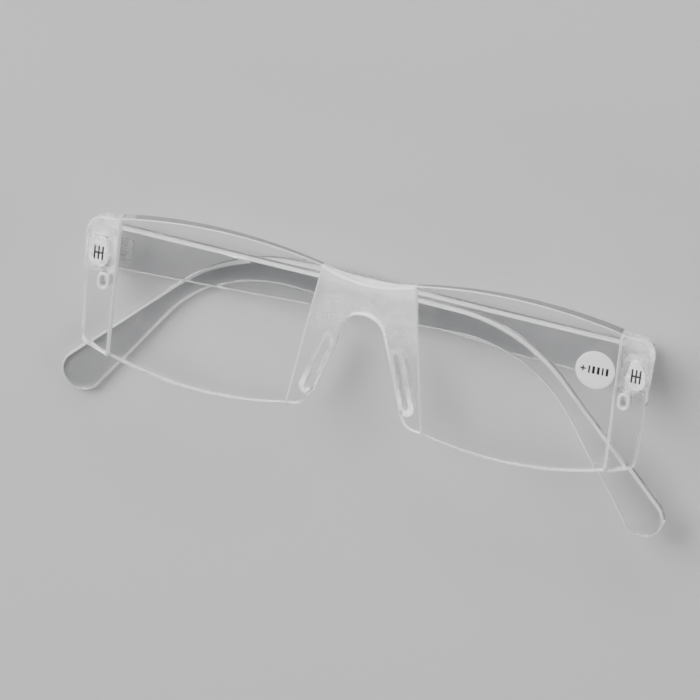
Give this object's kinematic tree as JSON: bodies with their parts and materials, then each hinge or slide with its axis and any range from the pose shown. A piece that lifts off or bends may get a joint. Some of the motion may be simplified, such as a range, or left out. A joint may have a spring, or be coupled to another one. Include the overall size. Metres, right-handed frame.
{
  "type": "folding reading glasses",
  "caption": "Clear moulded reading glasses with straight-seamed rectangular lenses, frosted bridge, nose pad loops and two hinged temples, lying folded and front up.",
  "frame": {"origin": "middle of the folded glasses, on the surface they lie on", "axes": "+X along the width towards the wearer's left, +Y towards the brow, +Z out of the front of the lenses"},
  "size_m": [0.1461, 0.0524, 0.015],
  "materials": {
    "frosted_clear": "fine matte clear plastic",
    "lens_clear": "polished clear plastic",
    "frame_clear": "glossy clear plastic",
    "pad_clear": "glossy clear plastic",
    "eyelet_white": "satin",
    "seat_frosted": "matte",
    "anchor_steel": "dull",
    "screw_steel": "polished",
    "temple_clear": "glossy clear plastic",
    "label_paper": "smooth paper"
  },
  "bodies": {
    "front": {"bridge": "frosted_clear", "lens_right": "lens_clear", "lens_left": "lens_clear", "end_piece_right": "frame_clear", "end_piece_left": "frame_clear", "tag_eyelet_right": "eyelet_white", "tag_eyelet_left": "eyelet_white", "nose_pad_right": "pad_clear", "nose_pad_left": "pad_clear", "hinge_seat_right": "seat_frosted", "hinge_seat_left": "seat_frosted", "hinge_anchor_right": "anchor_steel", "hinge_anchor_left": "anchor_steel", "hinge_screw_right": "screw_steel", "hinge_screw_left": "screw_steel", "power_sticker": "label_paper"},
    "temple_right": {"temple_right": "temple_clear", "temple_lug_right": "seat_frosted"},
    "temple_left": {"temple_left": "temple_clear", "temple_lug_left": "seat_frosted"}
  },
  "joints": [
    {"name": "right_hinge", "type": "hinge", "parent": "front", "child": "temple_right", "pos_m": [-0.062, 0.01304, 0.00666], "axis": [0, 1, 0], "range_deg": [0, 98.3]},
    {"name": "left_hinge", "type": "hinge", "parent": "front", "child": "temple_left", "pos_m": [0.062, 0.01304, 0.00666], "axis": [0, -1, 0], "range_deg": [0, 95]}
  ]
}
